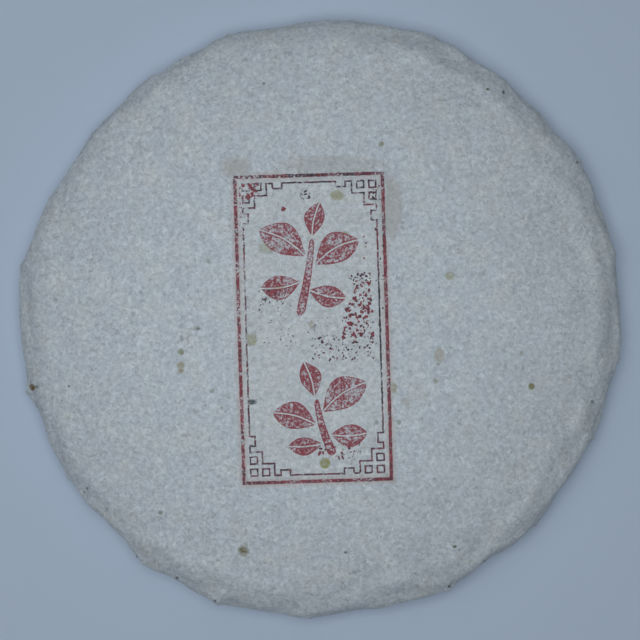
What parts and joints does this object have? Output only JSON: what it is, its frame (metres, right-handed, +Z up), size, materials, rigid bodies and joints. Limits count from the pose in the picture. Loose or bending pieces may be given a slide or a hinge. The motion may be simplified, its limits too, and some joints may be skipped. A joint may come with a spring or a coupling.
{
  "type": "wrapped pu erh tea cake",
  "caption": "Round pressed tea cake shut in an off-white paper wrapper, domed above, pleated underneath and rested on a flat ring, with a framed red stamp.",
  "frame": {"origin": "middle of the underside, on the surface that the cake rests on", "axes": "+Z up through the domed printed face, +Y towards the top of the print"},
  "size_m": [0.2008, 0.2004, 0.0273],
  "materials": {
    "wrapper_paper": "thin off-white bark paper, matte, with short fibres, flecks and small brown and green spots",
    "stamp_ink": "worn crimson stamp ink, matte, speckled, nearly black in places"
  },
  "bodies": {
    "root": {"wrapped_cake": "wrapper_paper"}
  },
  "joints": []
}
